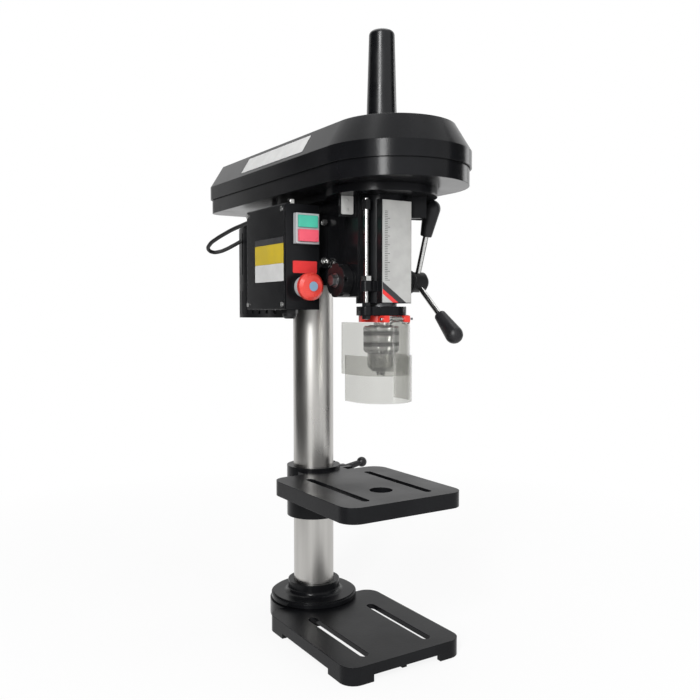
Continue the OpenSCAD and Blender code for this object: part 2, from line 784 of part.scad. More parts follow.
module feed_bush() {
    color(dull_steel) translate([0, feed_y, feed_z]) difference() {
        x_cyl(feed_bore, gear_face / 2 + 4, feed_boss_x - gear_face / 2 - 4);
        x_cyl(feed_r + run_gap, 0, feed_boss_x + 10);
    }
}

module feed_hub() {
    color(black_iron) translate([0, feed_y, feed_z]) difference() {
        rotate([0, 90, 0]) rotate_extrude() polygon([
            [feed_r, hub_x], [hub_r + 2, hub_x], [hub_r + 2, hub_x + 4], [hub_r, hub_x + 6],
            [hub_r, hub_x + hub_len - 5], [hub_r - 5, hub_x + hub_len], [feed_r, hub_x + hub_len]
        ]);
        at_rods() translate([0, 0, feed_r + 1]) cylinder(r = rod_r, h = 20);
    }
}

// Places of the handle rods, each along local Z
module at_rods() {
    for (i = [0 : rod_count - 1])
        translate([hub_x + hub_len / 2, 0, 0]) rotate([rod_turn - 90 + i * 360 / rod_count, 0, 0])
            rotate([0, rod_lean, 0]) children();
}

module feed_rods() {
    color(bright_steel) translate([0, feed_y, feed_z])
        at_rods() translate([0, 0, feed_r + 1]) cylinder(r = rod_r, h = knob_reach + 24 - feed_r);
}

module feed_knobs() {
    tip = knob_reach + knob_len - knob_r;
    color(black_plastic) translate([0, feed_y, feed_z]) at_rods() difference() {
        rotate_extrude() {
            polygon([[0, knob_reach], [7, knob_reach], [8, knob_reach + 1.5], [knob_r * 0.985, tip - 2], [0, tip - 2]]);
            intersection() {
                translate([0, tip]) circle(r = knob_r);
                translate([0, tip - 2.1]) square([knob_r + 1, knob_r + 4]);
            }
        }
        translate([0, 0, knob_reach - 1]) cylinder(r = rod_r, h = 26);
    }
}

// Flat spiral strip of the return spring, wound round the feed shaft
module return_spring() {
    turns = 4.5;
    per_turn = 20;
    n = turns * per_turn;
    inner = feed_r + 1.2;
    pitch = (cap_r - cap_wall - 1.2 - inner) / turns;
    half_w = (cap_depth - cap_wall) / 2 - 1.5;
    mid = -cap_x - half_w - 1.5;
    strip = 0.5;
    corner = [[-1, -1], [1, -1], [1, 1], [-1, 1]];
    pts = [for (i = [0 : n], c = corner)
        let (a = 360 * i / per_turn, r = inner + pitch * i / per_turn + c[0] * strip)
        [mid + c[1] * half_w, feed_y + r * cos(a), feed_z + r * sin(a)]];
    walls = [for (i = [0 : n - 1], k = [0 : 3])
        let (a = 4 * i + k, b = 4 * i + (k + 1) % 4) each [[a, b, b + 4], [a, b + 4, a + 4]]];
    color(dull_steel) polyhedron(points = pts,
        faces = concat(walls, [[3, 2, 1, 0], [4 * n, 4 * n + 1, 4 * n + 2, 4 * n + 3]]), convexity = 10);
}

module spring_cap() {
    color(black_iron) translate([0, feed_y, feed_z]) difference() {
        x_cyl(cap_r, -cap_x - cap_depth, cap_depth);
        x_cyl(cap_r - cap_wall, -cap_x - cap_depth + cap_wall, cap_depth);
        // finger notches round the rim
        for (a = [0 : 60 : 300]) rotate([a, 0, 0]) translate([-cap_x - cap_depth - 1, cap_r + 2, 0])
            rotate([0, 90, 0]) cylinder(r = 4, h = 6);
    }
}

module depth_rod() {
    color(bright_steel) translate([rod_x, rod_y, quill_collar_z - 5])
        cylinder(r = rod_rad, h = rod_top - quill_collar_z + 5);
}

module depth_rod_nuts() {
    color(dull_steel) translate([rod_x, rod_y, 0]) difference() {
        union() {
            translate([0, 0, quill_collar_top]) hex(10, 5);
            translate([0, 0, quill_collar_z - 4.5]) hex(10, 4.5);
        }
        translate([0, 0, quill_collar_z - 10]) cylinder(r = rod_rad, h = 40);
    }
}

module stop_nuts() {
    color(black_iron) translate([rod_x, rod_y, rod_top - 14]) difference() {
        for (z = [0, 6]) translate([0, 0, z]) hex(10, 5.9);
        translate([0, 0, -1]) cylinder(r = rod_rad + run_gap, h = 20);
    }
}

module rod_bush() {
    color(bright_steel) translate([rod_x, rod_y, rod_lug_z]) difference() {
        union() {
            cylinder(r = 5, h = rod_lug_h);
            translate([0, 0, rod_lug_h]) hex(12, 6);
        }
        translate([0, 0, -1]) cylinder(r = rod_rad + run_gap, h = rod_lug_h + 10);
    }
}

module scale_plate() {
    color(pale_grey) translate([-pad_w / 2 + 1, spindle_y - pad_reach - 1, sleeve_z + 1])
        cube([pad_w - 2, 1, head_top - 18 - sleeve_z]);
}

module guard_bracket() {
    color(signal_red) difference() {
        union() {
            translate([0, spindle_y, guard_z]) cylinder(r = quill_collar_r - 3, h = guard_ring_h);
            // two ears that carry the hinge pin
            for (s = [-1, 1])
                translate([s * ear_mid - ear_w / 2, pin_y - 4, guard_z])
                    cube([ear_w, spindle_y - pin_y - 10, guard_ring_h]);
            // block that takes the wing screw
            translate([quill_collar_r - 8, spindle_y - 8, guard_z]) cube([14, 16, guard_ring_h]);
        }
        translate([0, spindle_y, guard_z - 1]) cylinder(r = chuck_sleeve_r + 1.5, h = guard_ring_h + 2);
        // room for the shield's hinge barrel
        translate([0, pin_y, pin_z]) x_cyl(barrel_r + seat_gap, ear_w / 2 - ear_mid, 2 * ear_mid - ear_w);
        translate([0, pin_y, pin_z]) x_cyl(pin_r, -ear_mid - ear_w, 2 * (ear_mid + ear_w));
        translate([0, spindle_y, pin_z]) x_cyl(2.5, quill_collar_r - 6, 20);
    }
}

module guard_pin() {
    color(bright_steel) translate([0, pin_y, pin_z]) x_cyl(pin_r, -23, 46);
}

module guard_screw() {
    color(dull_steel) translate([0, spindle_y, pin_z]) {
        x_cyl(2.5, quill_collar_r - 5, 13);
        x_cyl(5, quill_collar_r + 6 + seat_gap, 4);
        translate([quill_collar_r + 9, -9, -1.5]) cube([3, 18, 3]);
    }
}

// U-shaped shield outline, open at the back
module shield_outline(r, back) {
    difference() {
        union() {
            circle(r = r);
            translate([-r, 0]) square([2 * r, back]);
        }
        circle(r = r - shield_wall);
        translate([shield_wall - r, 0]) square([2 * (r - shield_wall), back + 1 + r]);
    }
}

module upper_shield() {
    color(clear_plastic) difference() {
        union() {
            translate([0, spindle_y, guard_z - seat_gap - shield_h]) linear_extrude(shield_h)
                shield_outline(shield_r, shield_back);
            translate([0, pin_y, pin_z]) x_cyl(barrel_r, -barrel_half, 2 * barrel_half);
            translate([-barrel_half, spindle_y - shield_r + 0.3, guard_z - 4]) cube([2 * barrel_half, 3, 6]);
        }
        translate([0, pin_y, pin_z]) x_cyl(pin_r + run_gap, -30, 60);
        // room for the bracket's ears as the shield turns
        for (x = [-ear_mid - ear_w, ear_mid - ear_w]) translate([0, pin_y, pin_z]) x_cyl(ear_sweep, x, 2 * ear_w);
    }
}

module lower_shield() {
    r = shield_r + shield_gap + shield_wall;
    color(clear_plastic) translate([0, spindle_y, skirt_z]) linear_extrude(skirt_h)
        shield_outline(r, shield_back - 13);
}

module belt_tray() {
    floor_t = lid_wall;
    front = lid_front - lid_wall - lid_gap;
    rear = lid_rear - lid_wall - lid_gap;
    color(black_iron) difference() {
        translate([0, 0, head_top]) linear_extrude(tray_h + tray_lip)
            housing_outline(tray_half_w, front, rear, lid_corner - lid_wall);
        translate([0, 0, head_top + floor_t]) linear_extrude(tray_h + tray_lip)
            housing_outline(tray_half_w - lid_wall, front - lid_wall, rear - lid_wall, lid_corner - 2 * lid_wall);
        translate([0, spindle_y, head_top - 1]) cylinder(r = pulley_hub_r + 4, h = 10);
        translate([0, -idler_front, head_top - 1]) cylinder(r = 6, h = 10);
        // slot that lets the motor shaft slide
        translate([0, motor_back + 10, head_top - 1]) linear_extrude(10) slot_y(62, 36);
    }
}

module belt_lid() {
    rim = parting_z + 0.2;
    inner = lid_half_w - lid_wall;
    color(black_iron) difference() {
        union() {
            translate([0, 0, rim]) linear_extrude(lid_band)
                housing_outline(lid_half_w, lid_front, lid_rear, lid_corner);
            translate([0, 0, rim + lid_band])
                housing_slope(lid_half_w, lid_front, lid_rear, lid_corner, lid_slope);
        }
        translate([0, 0, rim - 1]) linear_extrude(lid_band + 1)
            housing_outline(inner, lid_front - lid_wall, lid_rear - lid_wall, lid_corner - lid_wall);
        translate([0, 0, rim + lid_band - eps])
            housing_slope(inner, lid_front - lid_wall, lid_rear - lid_wall, lid_corner - lid_wall,
                          lid_slope - lid_wall);
        translate([0, spindle_y, lid_top - 10]) cylinder(r = tube_foot_r - 2, h = 20);
    }
    // hinge knuckles on the right side
    color(black_iron) at_hinges() difference() {
        union() {
            y_cyl(hinge_r, -knuckle_len / 2, knuckle_len);
            translate([lid_half_w - hinge_x - eps, -knuckle_len / 2, parting_z + 1 - hinge_z])
                cube([hinge_t, knuckle_len, lid_band - 4]);
            translate([lid_half_w - hinge_x - eps, -knuckle_len / 2, parting_z + 1 - hinge_z])
                cube([hinge_x - lid_half_w + hinge_t, knuckle_len, hinge_t]);
            translate([0, -knuckle_len / 2, 0]) cube([hinge_t, knuckle_len, parting_z + 1 - hinge_z]);
        }
        y_cyl(hinge_pin_r + run_gap, -knuckle_len, 2 * knuckle_len);
    }
}

module spindle_tube() {
    crown = 6;
    color(black_plastic) translate([0, spindle_y, 0]) difference() {
        rotate_extrude() {
            polygon([[0, lid_top], [tube_foot_r, lid_top], [tube_top_r, tube_top - crown], [0, tube_top - crown]]);
            translate([0, tube_top - crown - 0.5]) square([tube_top_r - crown, crown + 0.5]);
            intersection() {
                translate([tube_top_r - crown, tube_top - crown]) circle(r = crown);
                translate([0, tube_top - crown - 0.5]) square([tube_top_r + 1, crown + 1]);
            }
        }
        translate([0, 0, lid_top - 1])
            cylinder(r1 = tube_foot_r - 2, r2 = tube_top_r - 2, h = tube_top - lid_top - 3);
    }
}

// Places of the two lid hinges
module at_hinges() {
    for (y = hinge_y) translate([hinge_x, y, hinge_z]) children();
}

module tray_hinges() {
    leaf = knuckle_len + seat_gap;
    inner = tray_half_w - hinge_x;
    color(dull_steel) at_hinges() {
        y_cyl(hinge_pin_r, -1.5 * knuckle_len - 1, 3 * knuckle_len + 2);
        for (s = [-1, 1]) translate([0, s * leaf - knuckle_len / 2, 0]) {
            y_cyl(hinge_r, 0, knuckle_len);
            translate([inner, 0, -hinge_leaf_h]) cube([hinge_t, knuckle_len, hinge_leaf_h]);
            translate([inner, 0, -hinge_t]) cube([-inner, knuckle_len, hinge_t]);
        }
    }
}

// Stepped V-belt pulley outline: widest step at the bottom, or at the top when flipped
module pulley_profile(big, drop, bore, flip) {
    steps = [for (i = [0 : pulley_steps - 1]) big - drop * (flip ? pulley_steps - 1 - i : i)];
    outline = [for (i = [0 : pulley_steps - 1]) each [
        [steps[i], i * step_h], [steps[i], i * step_h + 1.5], [steps[i] - groove_d, i * step_h + 4],
        [steps[i] - groove_d, i * step_h + step_h - 4], [steps[i], i * step_h + step_h - 1.5],
        [steps[i], i * step_h + step_h]
    ]];
    polygon(concat([[bore, 0]], outline, [[bore, pulley_h]]));
}

module spindle_pulley() {
    color(dull_steel) translate([0, spindle_y, 0]) difference() {
        union() {
            translate([0, 0, pulley_z]) rotate_extrude()
                pulley_profile(pulley_big, pulley_drop, spindle_r + run_gap, false);
            ring(pulley_hub_r, spindle_r + run_gap, hub_bearing_z, pulley_z - hub_bearing_z + 0.1);
            ring(pulley_hub_r + 3, spindle_r + run_gap, hub_bearing_z + hub_bearing_w + 0.3, 4);
        }
    }
}

module idler_pulley() {
    color(dull_steel) translate([0, -idler_front, pulley_z]) rotate_extrude()
        pulley_profile(pulley_big, pulley_drop, 6 + run_gap, true);
}

module idler_arm() {
    color(dull_steel) translate([0, -idler_front, 0]) {
        translate([0, 0, column_top + 4]) cylinder(r = 6, h = pulley_z + pulley_h + 4 - column_top);
        translate([0, 0, head_top + lid_wall]) cylinder(r = 10, h = pulley_z - head_top - lid_wall - seat_gap);
    }
}

module motor_pulley() {
    color(dull_steel) translate([0, motor_back, pulley_z]) rotate_extrude()
        pulley_profile(pulley_big, pulley_drop, 7, false);
}

// Points of an arc round a place on the Y axis
function arc_points(y, r, from, span) =
    [for (i = [0 : belt_facets]) let (t = from + span * i / belt_facets) [r * cos(t), y + r * sin(t)]];

// Closed loop round two pulleys on the Y axis
function belt_loop(y1, r1, y2, r2) =
    let (lean = asin((r1 - r2) / (y2 - y1)))
    concat(arc_points(y1, r1, 180 - lean, 180 + 2 * lean), arc_points(y2, r2, lean, 180 - 2 * lean));

// V-belt of a narrow inner layer and a wide outer one, each with its heights over the groove's bottom
module v_belt(y1, r1, y2, r2, z) {
    for (layer = [[0.5, groove_d / 2 + 0.5, 2.7], [groove_d / 2, groove_d + 0.5, 4]])
        translate([0, 0, z + step_h / 2 - layer[2]]) linear_extrude(2 * layer[2]) difference() {
            polygon(belt_loop(y1, r1 + layer[1], y2, r2 + layer[1]));
            polygon(belt_loop(y1, r1 + layer[0], y2, r2 + layer[0]));
        }
}

module front_belt() {
    low = pulley_big - groove_d;
    color(belt_black) v_belt(spindle_y, low - pulley_drop * front_step,
        -idler_front, low - pulley_drop * (pulley_steps - 1 - front_step), pulley_z + front_step * step_h);
}

module rear_belt() {
    low = pulley_big - groove_d;
    color(belt_black) v_belt(-idler_front, low - pulley_drop * (pulley_steps - 1 - rear_step),
        motor_back, low - pulley_drop * rear_step, pulley_z + rear_step * step_h);
}

module motor_body() {
    low = motor_z + cowl_h;
    color(black_iron) translate([0, motor_back, 0]) difference() {
        rotate_extrude() polygon([
            [0, low], [motor_r, low], [motor_r, motor_top - 12], [motor_r - 10, motor_top - 2],
            [20, motor_top], [0, motor_top]
        ]);
        translate([0, 0, low - 1]) cylinder(r = 8, h = motor_top);
        // cooling fins cut along the can
        for (a = [0 : 15 : 345]) if (abs(a - 270) > 40)
            rotate(a) translate([motor_r - 2.5, -2, low + 14]) cube([6, 4, motor_top - 34 - low]);
    }
}

module motor_cowl() {
    color(black_iron) translate([0, motor_back, 0]) difference() {
        ring(motor_r, motor_r - 2, motor_z, cowl_h);
        for (i = [0 : cowl_slots - 1]) rotate(360 * i / cowl_slots)
            translate([motor_r - 6, -1.6, motor_z + 6]) cube([12, 3.2, cowl_h - 18]);
    }
    color(black_iron) translate([0, motor_back, motor_z]) difference() {
        cylinder(r = motor_r - 1, h = 2);
        for (r = [16 : 10 : motor_r - 8]) for (q = [0 : 90 : 270]) rotate(q)
            rotate_extrude(angle = 70) translate([r, -1]) square([5, 4]);
    }
}

module motor_rotor() {
    color(dull_steel) translate([0, motor_back, 0]) {
        translate([0, 0, motor_z + 8]) cylinder(r = 7, h = pulley_z + pulley_h - motor_z - 8);
        translate([0, 0, motor_z + 12]) ring(16, 7, 0, 20);
        for (a = [0 : 45 : 315])
            rotate(a) translate([14, -1.5, motor_z + 12]) cube([motor_r - 24, 3, 22]);
    }
}

module motor_plate() {
    color(black_iron) difference() {
        union() {
            translate([-slide_pitch / 2 - 14, motor_back - motor_r - 6, slide_z - 42])
                cube([slide_pitch + 28, 5, 70]);
            for (s = [-1, 1]) translate([s * 30 - 4, motor_back - motor_r - 2, slide_z - 42])
                cube([8, motor_r - sqrt(motor_r * motor_r - 26 * 26) + 1, 64]);
        }
        translate([0, motor_back, slide_z - 60]) cylinder(r = motor_r, h = 120);
        for (s = [-1, 1])
            translate([s * slide_pitch / 2, 0, slide_z]) y_cyl(slide_r, 0, 120);
    }
}

module slide_rods() {
    color(bright_steel) for (s = [-1, 1])
        translate([s * slide_pitch / 2, 0, slide_z]) y_cyl(slide_r, -slide_in, motor_back - motor_r - 1 + slide_in);
}

module switch_box() {
    color(black_iron) difference() {
        translate([box_x, box_y, box_z]) cube([box_w, box_d, box_h]);
        translate([box_x + box_wall, box_y + box_wall, box_z + box_wall])
            cube([box_w - 2 * box_wall, box_d - 2 * box_wall, box_h - 2 * box_wall]);
        // open left side, closed by the panel
        translate([box_x - 1, box_y + 6, box_z + 6]) cube([box_wall + 2, box_d - 12, box_h - 12]);
    }
    // bracket to the head
    color(black_iron) translate([-box_right, box_y + 12, box_z + 56])
        cube([box_right - head_half_w, 60, 72]);
}

module switch_panel() {
    color(black_iron) translate([box_x - 1.5, box_y + 2, box_z + 1]) cube([1.5, box_d - 4, box_h - 2]);
}

module box_screws() {
    color(bright_steel) for (y = [box_y + 7, box_y + box_d - 7], z = [box_z + 7, box_z + box_h - 7])
        translate([0, y, z]) x_cyl(3, box_x - 3.5, 2);
}

// Places on the box front: x from the left edge, z from the bottom
module on_panel(x, z) translate([box_x + x, box_y, box_z + z]) children();

module switch_body() {
    color(pale_grey) difference() {
        on_panel(switch_x, switch_low) translate([0, -switch_t, 0]) cube([switch_w, switch_t, switch_h]);
        for (i = [0, 1]) on_panel(switch_x + switch_rim, switch_low + switch_rim + i * (button_h + switch_rim))
            translate([0, -switch_t - 1, 0]) cube([button_w, switch_t, button_h]);
    }
}

// One push button in its window
module button(i, proud) {
    on_panel(switch_x + switch_rim + seat_gap, switch_low + switch_rim + seat_gap + i * (button_h + switch_rim))
        translate([0, -switch_t - proud, 0])
            cube([button_w - 2 * seat_gap, proud + switch_t - button_travel - 1.5, button_h - 2 * seat_gap]);
}

module start_button() {
    color([0.10, 0.62, 0.36]) button(1, 2);
}

module stop_button() {
    color(signal_red) button(0, 4);
}

module estop_base() {
    color(pale_grey) on_panel(estop_x, estop_z) difference() {
        y_cyl(estop_r - 4, -6, 6);
        y_cyl(estop_stem + run_gap, -7, 6);
    }
}

module estop_head() {
    color(signal_red) on_panel(estop_x, estop_z) rotate([90, 0, 0]) rotate_extrude() polygon([
        [0, 6 - button_travel + 2.5], [estop_stem, 6 - button_travel + 2.5], [estop_stem, 11],
        [estop_r - 4, 12], [estop_r, 15], [estop_r, 21], [estop_r - 4, 25], [0, 26.5]
    ]);
}

module motor_lead() {
    color(belt_black) swept_tube(lead_route, lead_r, lead_sides);
}

base();
column_flange();
flange_bolts();
column();
table();
clamp_bolt();
clamp_lever();
head_casting();
head_bolts();
quill();
quill_collar();
spindle();
spindle_bearings();
pulley_bearing();
chuck_body();
chuck_sleeve();
chuck_jaw_1();
chuck_jaw_2();
chuck_jaw_3();
feed_shaft();
feed_bush();
feed_hub();
feed_rods();
feed_knobs();
return_spring();
spring_cap();
depth_rod();
depth_rod_nuts();
stop_nuts();
rod_bush();
scale_plate();
guard_bracket();
guard_pin();
guard_screw();
upper_shield();
lower_shield();
belt_tray();
belt_lid();
spindle_tube();
tray_hinges();
spindle_pulley();
idler_pulley();
idler_arm();
motor_pulley();
front_belt();
rear_belt();
motor_body();
motor_cowl();
motor_rotor();
motor_plate();
slide_rods();
switch_box();
switch_panel();
box_screws();
switch_body();
start_button();
stop_button();
estop_base();
estop_head();
motor_lead();
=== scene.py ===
"""Benchtop drill press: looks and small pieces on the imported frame, seen as in the photograph."""
import json
import math

import bmesh
import bpy
from mathutils import Euler, Matrix, Vector
from mathutils.geometry import interpolate_bezier

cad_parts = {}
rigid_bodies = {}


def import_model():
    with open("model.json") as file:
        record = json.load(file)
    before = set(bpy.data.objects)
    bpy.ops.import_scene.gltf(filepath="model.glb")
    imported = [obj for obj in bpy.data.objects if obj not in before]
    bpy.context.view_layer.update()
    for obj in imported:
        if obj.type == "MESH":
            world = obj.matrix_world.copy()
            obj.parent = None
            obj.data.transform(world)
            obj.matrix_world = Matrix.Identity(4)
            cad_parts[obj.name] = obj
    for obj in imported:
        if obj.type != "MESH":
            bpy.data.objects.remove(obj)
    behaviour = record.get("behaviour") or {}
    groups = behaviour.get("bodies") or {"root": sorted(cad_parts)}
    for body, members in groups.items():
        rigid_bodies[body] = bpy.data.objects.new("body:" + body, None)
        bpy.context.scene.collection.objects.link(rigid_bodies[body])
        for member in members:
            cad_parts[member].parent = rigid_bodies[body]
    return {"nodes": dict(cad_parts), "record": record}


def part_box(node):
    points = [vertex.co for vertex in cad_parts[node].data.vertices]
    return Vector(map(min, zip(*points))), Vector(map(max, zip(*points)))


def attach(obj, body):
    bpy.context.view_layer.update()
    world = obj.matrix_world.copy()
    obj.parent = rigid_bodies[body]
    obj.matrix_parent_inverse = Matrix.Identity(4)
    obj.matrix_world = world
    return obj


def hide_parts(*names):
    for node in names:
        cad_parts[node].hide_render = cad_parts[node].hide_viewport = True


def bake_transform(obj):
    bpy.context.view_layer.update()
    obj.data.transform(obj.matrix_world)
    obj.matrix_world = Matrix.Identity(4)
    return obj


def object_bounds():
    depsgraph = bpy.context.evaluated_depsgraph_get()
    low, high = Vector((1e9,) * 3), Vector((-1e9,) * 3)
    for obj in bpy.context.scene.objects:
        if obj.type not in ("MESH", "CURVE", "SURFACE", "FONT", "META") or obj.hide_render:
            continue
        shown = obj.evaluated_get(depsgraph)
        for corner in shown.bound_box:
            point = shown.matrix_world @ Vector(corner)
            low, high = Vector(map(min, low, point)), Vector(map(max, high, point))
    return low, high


for leftover in list(bpy.data.objects):
    bpy.data.objects.remove(leftover)
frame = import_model()
cad_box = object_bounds()
scene = bpy.context.scene
scene.view_settings.view_transform = "Standard"

# Directions of the machine, and the unit of sizes given in millimetres
RIGHT = (1, 0, 0)
LEFT = (-1, 0, 0)
FRONT = (0, -1, 0)
UP = (0, 0, 1)
DOWN = (0, 0, -1)
MM = 0.001


def lo(node):
    """Lowest corner of a CAD node, in metres."""
    return Vector(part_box(node)[0])


def hi(node):
    """Highest corner of a CAD node, in metres."""
    return Vector(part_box(node)[1])


def mid(node):
    """Middle of a CAD node's box, in metres."""
    return (lo(node) + hi(node)) / 2


# Camera, fitted to the photograph
CAMERA_PLACE = Vector((-0.5774, -1.0197, 0.4551))
CAMERA_YAW = math.radians(32.22)
CAMERA_PITCH = math.radians(-2.85)
SENSOR_MM = 36.0
LENS_MM = 40.12
NEAR_CLIP = 0.01


def add_camera():
    data = bpy.data.cameras.new("camera")
    data.sensor_width = SENSOR_MM
    data.lens = LENS_MM
    data.clip_start = NEAR_CLIP
    camera = bpy.data.objects.new("camera", data)
    camera.location = CAMERA_PLACE
    camera.rotation_euler = Euler((math.pi / 2 + CAMERA_PITCH, 0, -CAMERA_YAW))
    scene.collection.objects.link(camera)
    scene.camera = camera


# Material kit
NOISE_ROUGH = 0.55
NOISE_LOW = 0.3
NOISE_HIGH = 0.7
RAMP_STOPS = (0.35, 0.65)
BEVEL_SAMPLES = 4
DUST_START = 0.9
DUST_FULL = 0.99


class Look:
    """A node material with short ways to add textures to its shader."""

    def __init__(self, name, color, rough, metal=0.0, **sockets):
        self.material = bpy.data.materials.new(name)
        self.material.use_nodes = True
        self.tree = self.material.node_tree
        self.shader = self.tree.nodes["Principled BSDF"]
        self.rough = rough
        self.set("Base Color", (*color, 1.0))
        self.set("Roughness", rough)
        self.set("Metallic", metal)
        for key, value in sockets.items():
            self.set(key.replace("_", " "), value)

    def set(self, socket, value):
        self.shader.inputs[socket].default_value = value

    def add(self, kind, **settings):
        """Adds a node and sets its inputs or properties by name."""
        node = self.tree.nodes.new(kind)
        for key, value in settings.items():
            if key in node.inputs:
                node.inputs[key].default_value = value
            else:
                setattr(node, key, value)
        return node

    def join(self, out, into):
        self.tree.links.new(out, into)

    def place(self, stretch):
        """Object coordinates, stretched by a factor on each axis."""
        coords = self.add("ShaderNodeTexCoord")
        mapping = self.add("ShaderNodeMapping", Scale=stretch)
        self.join(coords.outputs["Object"], mapping.inputs["Vector"])
        return mapping.outputs["Vector"]

    def noise(self, scale, detail=3.0, stretch=(1, 1, 1)):
        node = self.add("ShaderNodeTexNoise", Scale=scale, Detail=detail, Roughness=NOISE_ROUGH)
        self.join(self.place(stretch), node.inputs["Vector"])
        return node.outputs["Fac"]

    def ramp(self, source, low, high, at):
        """Colour ramp between two colours at two places."""
        node = self.add("ShaderNodeValToRGB")
        for stop, place, color in zip(node.color_ramp.elements, at, (low, high)):
            stop.position = place
            stop.color = (*color, 1.0)
        self.join(source, node.inputs["Fac"])
        return node.outputs["Color"]

    def map_range(self, source, start, end, low, high):
        """Maps a number from start to end onto low to high."""
        node = self.add("ShaderNodeMapRange")
        node.inputs["From Min"].default_value = start
        node.inputs["From Max"].default_value = end
        node.inputs["To Min"].default_value = low
        node.inputs["To Max"].default_value = high
        self.join(source, node.inputs["Value"])
        return node.outputs["Result"]

    def vary_rough(self, source, spread):
        """Spreads the roughness evenly about its set value."""
        low = self.rough - spread
        high = self.rough + spread
        gloss = self.map_range(source, NOISE_LOW, NOISE_HIGH, low, high)
        self.join(gloss, self.shader.inputs["Roughness"])

    def settle_dust(self, extra):
        """Adds roughness on faces that look up along the object's own Z, after vary_rough."""
        coords = self.add("ShaderNodeTexCoord")
        axes = self.add("ShaderNodeSeparateXYZ")
        self.join(coords.outputs["Normal"], axes.inputs["Vector"])
        dust = self.map_range(axes.outputs["Z"], DUST_START, DUST_FULL, 0.0, extra)
        socket = self.shader.inputs["Roughness"]
        total = self.add("ShaderNodeMath", operation="ADD")
        self.join(socket.links[0].from_socket, total.inputs[0])
        self.join(dust, total.inputs[1])
        self.join(total.outputs["Value"], socket)

    def vary_color(self, source, low, high, at=RAMP_STOPS):
        self.join(self.ramp(source, low, high, at), self.shader.inputs["Base Color"])

    def bump(self, source, strength, distance, edge=0.0):
        """Fine relief, and edges softened over a small radius."""
        node = self.add("ShaderNodeBump", Strength=strength, Distance=distance)
        self.join(source, node.inputs["Height"])
        if edge:
            bevel = self.add("ShaderNodeBevel", Radius=edge)
            bevel.samples = BEVEL_SAMPLES
            self.join(bevel.outputs["Normal"], node.inputs["Normal"])
        self.join(node.outputs["Normal"], self.shader.inputs["Normal"])


def tint(color, factor):
    return tuple(min(1.0, c * factor) for c in color)


def paint(name, color, rough, grain, relief, shine=0.2, dust=0.0):
    """Sprayed paint: slight orange peel, cloudy gloss, pale patches, and dust where asked."""
    look = Look(name, color, rough, Specular_IOR_Level=shine)
    look.vary_rough(look.noise(scale=9.0, detail=4.0), rough * 0.28)
    if dust:
        look.settle_dust(dust)
    look.vary_color(look.noise(scale=14.0, detail=5.0), tint(color, 0.8), tint(color, 1.35))
    look.bump(look.noise(grain, detail=2.0), relief, distance=0.0006, edge=0.0012)
    return look.material


def steel(name, color, rough, lines, streak=0.18):
    """Turned or drawn steel: noise that is finer along Z by a factor, so that it draws lines."""
    look = Look(name, color, rough, metal=1.0)
    grain = look.noise(scale=60.0, detail=4.0, stretch=(1, 1, lines))
    look.vary_color(grain, tint(color, 1 - streak), tint(color, 1 + streak))
    look.vary_rough(look.noise(scale=18.0), rough * 0.3)
    look.bump(grain, strength=0.06, distance=0.0003, edge=0.0006)
    return look.material


def plastic(name, color, rough, **sockets):
    """Moulded plastic: soft sheen with a very fine grain."""
    look = Look(name, color, rough, **sockets)
    look.vary_rough(look.noise(scale=35.0), rough * 0.25)
    look.vary_color(look.noise(scale=20.0), tint(color, 0.9), tint(color, 1.1))
    look.bump(look.noise(scale=900.0, detail=2.0), strength=0.05, distance=0.0002, edge=0.0008)
    return look.material


def column_metal():
    """Drawn tube: soft upright streaks and a few dull patches."""
    color = (0.5, 0.49, 0.47)
    look = Look("column_metal", color, 0.34, metal=1.0, Anisotropic=0.3)
    streaks = look.noise(scale=70.0, stretch=(1, 1, 0.03))
    look.vary_color(streaks, tint(color, 0.86), tint(color, 1.1), at=(0.3, 0.72))
    look.vary_rough(look.noise(scale=12.0, detail=4.0, stretch=(1, 1, 0.4)), spread=0.08)
    look.bump(streaks, strength=0.02, distance=0.0003, edge=0.0008)
    return look.material


def rubber(name, color):
    """Dull rubber with a fine even grain."""
    look = Look(name, color, 0.62)
    look.vary_rough(look.noise(scale=60.0), spread=0.12)
    look.vary_color(look.noise(scale=45.0, detail=4.0), tint(color, 0.7), tint(color, 1.5))
    look.bump(look.noise(scale=1400.0, detail=2.0), strength=0.15, distance=0.0002)
    return look.material


def clear_plastic(name, color, rough):
    """Clear moulded guard: slight haze and wavy gloss."""
    look = Look(name, color, rough, Transmission_Weight=0.94, IOR=1.3)
    look.vary_rough(look.noise(scale=25.0, detail=4.0), rough * 0.5)
    look.bump(look.noise(scale=30.0, detail=2.0), strength=0.03, distance=0.0006)
    return look.material


def printed(name, color):
    """Printed plate or sticker: even ink with a faint mottle."""
    look = Look(name, color, 0.42)
    look.vary_color(look.noise(scale=60.0, detail=4.0), tint(color, 0.93), tint(color, 1.05))
    look.vary_rough(look.noise(scale=30.0), spread=0.08)
    look.bump(look.noise(scale=500.0, detail=2.0), strength=0.04, distance=0.0001)
    return look.material


